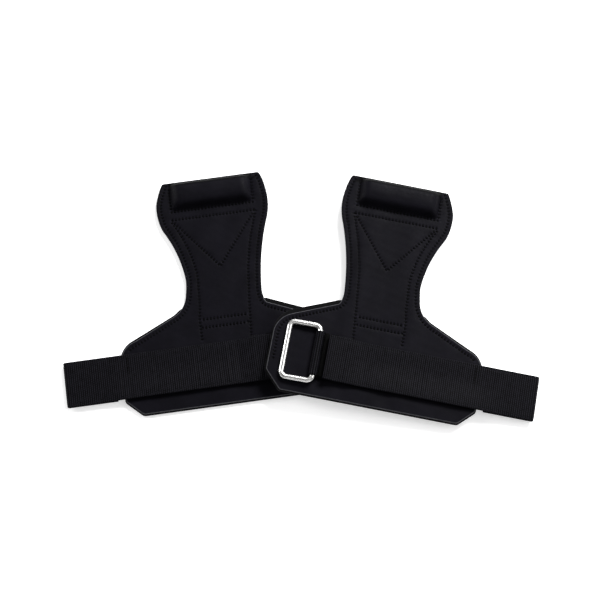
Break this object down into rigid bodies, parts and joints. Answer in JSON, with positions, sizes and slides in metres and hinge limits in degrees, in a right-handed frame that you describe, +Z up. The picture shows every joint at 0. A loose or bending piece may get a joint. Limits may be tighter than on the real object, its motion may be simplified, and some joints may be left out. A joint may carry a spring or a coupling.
{
  "type": "hand grips",
  "caption": "Palm grips in leather over neoprene, with a roll at the end of the palm flap and a webbing wrist strap that closes through a wire ring, shown as a stacked left and right pair.",
  "frame": {"origin": "centre of the pair's footprint, on the surface that it lies on", "axes": "+X from the left grip to the right grip, +Y from the wrist straps to the palm flaps, +Z up"},
  "size_m": [0.394, 0.2215, 0.0229],
  "materials": {
    "neoprene": "matt knitted face",
    "leather": "fine matt grain",
    "foam": "matt foam",
    "lining": "brushed",
    "dowel": "matt",
    "webbing": "ribbed weave",
    "hook_tape": "hooked tape",
    "ring_steel": "bright nickel plate",
    "thread": "sewing thread"
  },
  "bodies": {
    "left_wrist": {"left_wrist_pad": "neoprene", "left_wrist_panel": "leather", "left_strap": "webbing", "left_ring_loop": "webbing", "left_wrist_edge_seam": "thread", "left_wrist_seams": "thread", "left_strap_end_seam": "thread", "left_strap_ring_seam": "thread"},
    "left_flap": {"left_palm_panel": "leather", "left_flap_foam": "foam", "left_flap_lining": "lining", "left_v_patch": "lining", "left_roll_foam": "foam", "left_roll_dowel": "dowel", "left_flap_edge_seam": "thread", "left_flap_side_seams": "thread", "left_roll_seams": "thread", "left_v_seam": "thread"},
    "left_ring": {"left_ring": "ring_steel"},
    "left_tail": {"left_strap_tail": "webbing", "left_hook_patch": "hook_tape"},
    "right_wrist": {"right_wrist_pad": "neoprene", "right_wrist_panel": "leather", "right_strap": "webbing", "right_ring_loop": "webbing", "right_wrist_edge_seam": "thread", "right_wrist_seams": "thread", "right_strap_end_seam": "thread", "right_strap_ring_seam": "thread"},
    "right_flap": {"right_palm_panel": "leather", "right_flap_foam": "foam", "right_flap_lining": "lining", "right_v_patch": "lining", "right_roll_foam": "foam", "right_roll_dowel": "dowel", "right_flap_edge_seam": "thread", "right_flap_side_seams": "thread", "right_roll_seams": "thread", "right_v_seam": "thread"},
    "right_ring": {"right_ring": "ring_steel"},
    "right_tail": {"right_strap_tail": "webbing", "right_hook_patch": "hook_tape"}
  },
  "joints": [
    {"name": "right_grip_lift", "type": "slide", "parent": "left_wrist", "child": "right_wrist", "axis": [0, 0, 1], "range_m": [0, 0.12]},
    {"name": "left_flap_fold", "type": "hinge", "parent": "left_wrist", "child": "left_flap", "pos_m": [-0.06438, -0.00573, 0.0044], "axis": [0.9903, 0.1392, 0], "range_deg": [0, 140]},
    {"name": "left_ring_swing", "type": "hinge", "parent": "left_wrist", "child": "left_ring", "pos_m": [-0.01172, -0.04983, 0.00795], "axis": [0.1392, -0.9903, 0], "range_deg": [0, 160]},
    {"name": "left_tail_unfold", "type": "hinge", "parent": "left_wrist", "child": "left_tail", "pos_m": [-0.19245, -0.07664, 0.0035], "axis": [-0.1392, 0.9903, 0], "range_deg": [0, 178]},
    {"name": "right_flap_fold", "type": "hinge", "parent": "right_wrist", "child": "right_flap", "pos_m": [0.06631, -0.01152, 0.01067], "axis": [0.9815, -0.1829, -0.0572], "range_deg": [0, 140]},
    {"name": "right_ring_swing", "type": "hinge", "parent": "right_wrist", "child": "right_ring", "pos_m": [0.01215, -0.05314, 0.01867], "axis": [0.1811, 0.9828, -0.0359], "range_deg": [0, 160]},
    {"name": "right_tail_unfold", "type": "hinge", "parent": "right_wrist", "child": "right_tail", "pos_m": [0.19093, -0.08805, 0.00383], "axis": [-0.1811, -0.9828, 0.0359], "range_deg": [0, 178]}
  ],
  "couplings": [
    {"joint": "left_ring_swing", "follows": "right_grip_lift", "rad_per_m": 23.2}
  ]
}
